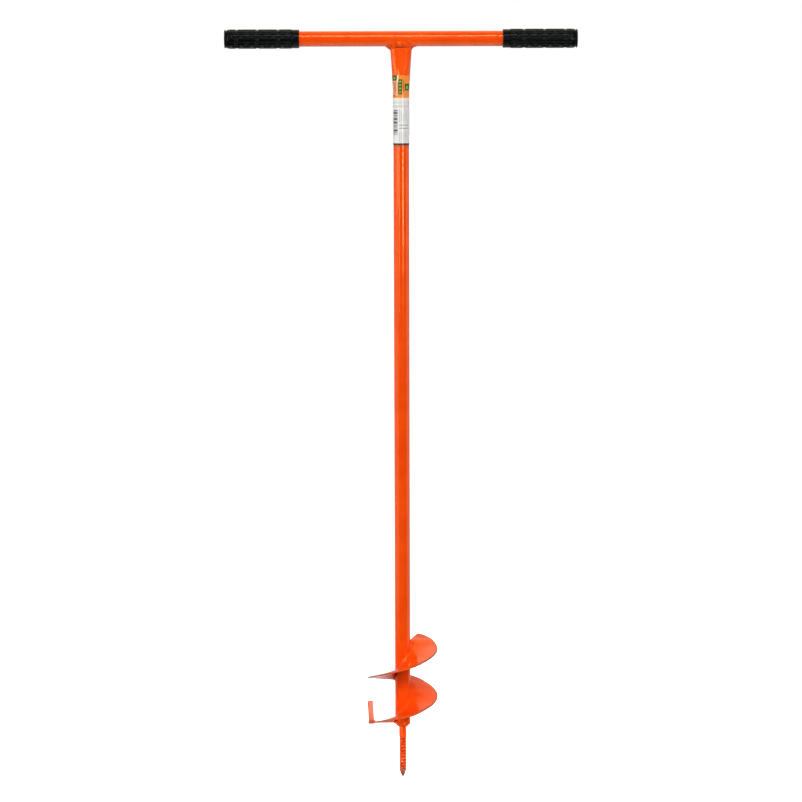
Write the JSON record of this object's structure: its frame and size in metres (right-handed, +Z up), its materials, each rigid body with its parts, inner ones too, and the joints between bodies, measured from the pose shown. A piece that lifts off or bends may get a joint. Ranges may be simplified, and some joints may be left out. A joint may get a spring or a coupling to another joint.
{
  "type": "hand earth auger",
  "caption": "Hand earth auger: T handle with moulded grips on a round tube shaft, welded screw flights with an upright cutter tooth, and a lag-screw pilot point.",
  "frame": {"origin": "the pilot screw's tip, on the shaft's axis, at the centre of the object's footprint", "axes": "+Z up the shaft towards the handle, +X along the crossbar towards the right grip, -Y towards the picture's camera"},
  "size_m": [0.4892, 0.0995, 1.0625],
  "materials": {
    "orange_powder_coat": "glossy powder coat",
    "coated_weld_bead": "glossy powder coat over weld ripples",
    "black_moulded_plastic": "moulded, satin",
    "printed_label": "printed film"
  },
  "bodies": {
    "root": {"crossbar": "orange_powder_coat", "shaft_tube": "orange_powder_coat", "handle_weld": "coated_weld_bead", "grip_left": "black_moulded_plastic", "grip_right": "black_moulded_plastic", "label": "printed_label", "lower_flight": "orange_powder_coat", "upper_flight": "orange_powder_coat", "lower_flight_weld_1": "coated_weld_bead", "lower_flight_weld_2": "coated_weld_bead", "lower_flight_weld_3": "coated_weld_bead", "upper_flight_weld_1": "coated_weld_bead", "upper_flight_weld_2": "coated_weld_bead", "upper_flight_weld_3": "coated_weld_bead", "cutter_tooth": "orange_powder_coat", "tooth_weld": "coated_weld_bead", "pilot_screw": "orange_powder_coat", "pilot_weld": "coated_weld_bead"}
  },
  "joints": []
}
